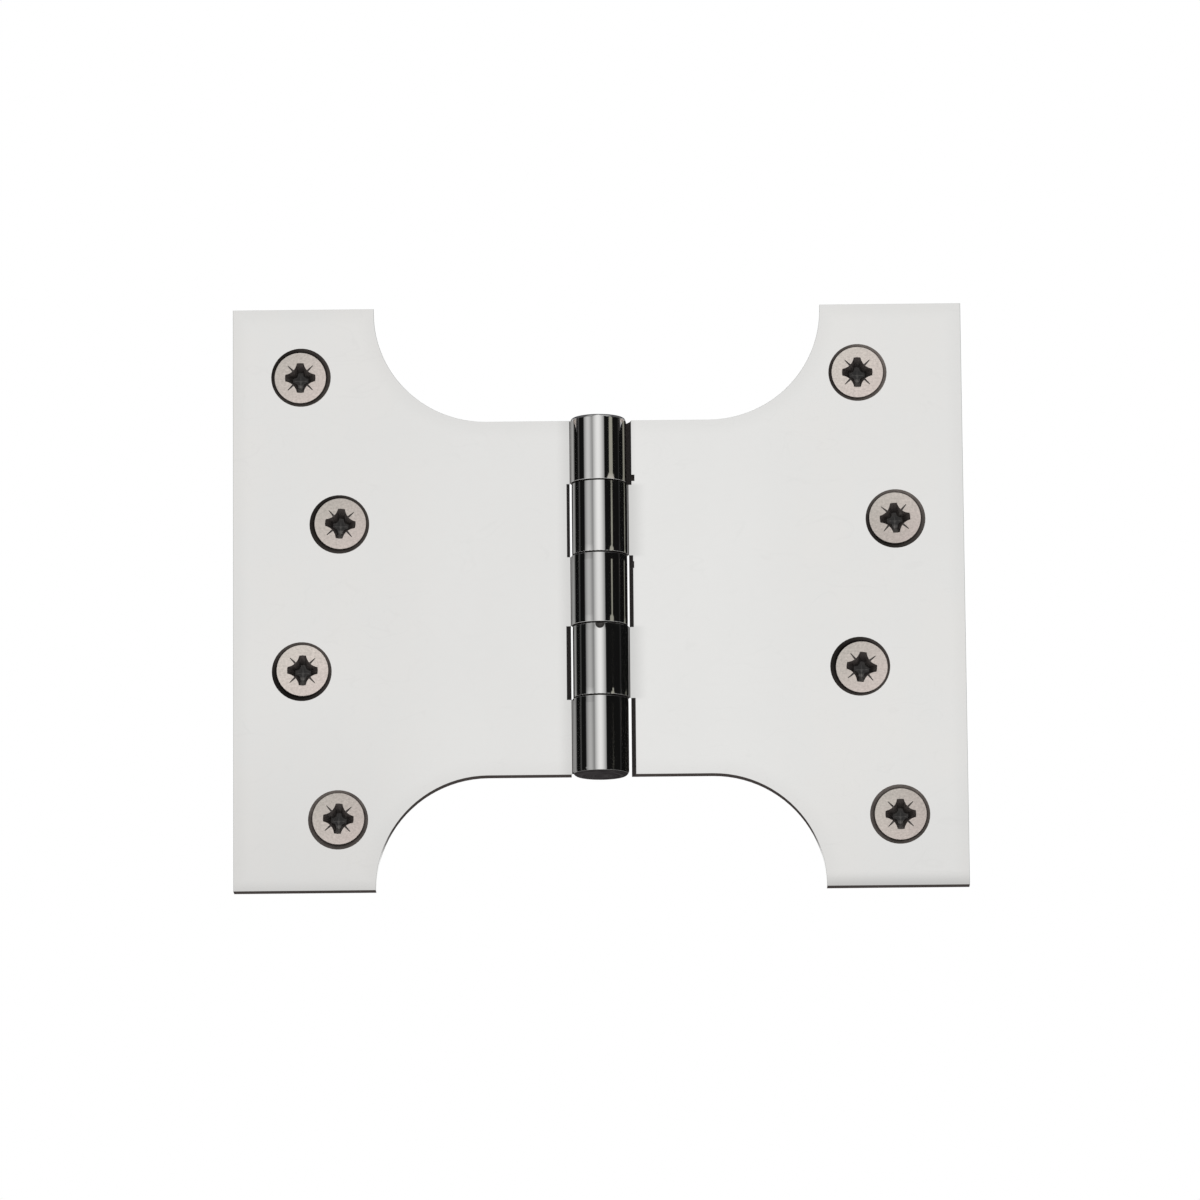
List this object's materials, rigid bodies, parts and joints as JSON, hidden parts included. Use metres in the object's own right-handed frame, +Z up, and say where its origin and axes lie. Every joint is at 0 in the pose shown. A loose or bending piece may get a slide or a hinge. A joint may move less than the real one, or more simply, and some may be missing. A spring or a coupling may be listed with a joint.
{
  "type": "ball bearing hinge",
  "caption": "Parliament hinge with scooped T-shaped leaves, a knuckled barrel with sunk ball bearings and countersunk wood screws, opened flat.",
  "frame": {"origin": "centre of the frame leaf's wing on its back face, the face that lies against the door frame", "axes": "+Z up along the pin, +Y out of the back faces into the wood, +X from the frame leaf across the barrel to the door leaf"},
  "size_m": [0.1263, 0.0371, 0.102],
  "materials": {
    "polished_leaf": "mirror-polished, with flat faces that read almost white",
    "pin_steel": "ground",
    "bearing_steel": "ground and hardened",
    "cage_brass": "plain stamped",
    "screw_steel": "satin, faintly warm grey"
  },
  "bodies": {
    "frame_side": {"frame_leaf": "polished_leaf", "hinge_pin": "pin_steel", "top_pin_plug": "polished_leaf", "bottom_pin_plug": "polished_leaf", "upper_bearing_top_race": "bearing_steel", "lower_bearing_bottom_race": "bearing_steel", "frame_screw_1": "screw_steel", "frame_screw_2": "screw_steel", "frame_screw_3": "screw_steel", "frame_screw_4": "screw_steel"},
    "door_side": {"door_leaf": "polished_leaf", "upper_bearing_bottom_race": "bearing_steel", "lower_bearing_top_race": "bearing_steel", "door_screw_1": "screw_steel", "door_screw_2": "screw_steel", "door_screw_3": "screw_steel", "door_screw_4": "screw_steel"},
    "upper_ball_set": {"upper_bearing_cage": "cage_brass", "upper_bearing_balls": "bearing_steel"},
    "lower_ball_set": {"lower_bearing_cage": "cage_brass", "lower_bearing_balls": "bearing_steel"}
  },
  "joints": [
    {"name": "leaf_swing", "type": "hinge", "parent": "frame_side", "child": "door_side", "pos_m": [0.05103, -0.00315, 0], "axis": [0, 0, -1], "range_deg": [0, 180]},
    {"name": "upper_cage_roll", "type": "hinge", "parent": "frame_side", "child": "upper_ball_set", "pos_m": [0.05103, -0.00315, 0.01955], "axis": [0, 0, -1], "range_deg": [0, 90]},
    {"name": "lower_cage_roll", "type": "hinge", "parent": "frame_side", "child": "lower_ball_set", "pos_m": [0.05103, -0.00315, -0.0181], "axis": [0, 0, -1], "range_deg": [0, 90]}
  ],
  "couplings": [
    {"joint": "upper_cage_roll", "follows": "leaf_swing", "ratio": 0.5},
    {"joint": "lower_cage_roll", "follows": "leaf_swing", "ratio": 0.5}
  ]
}
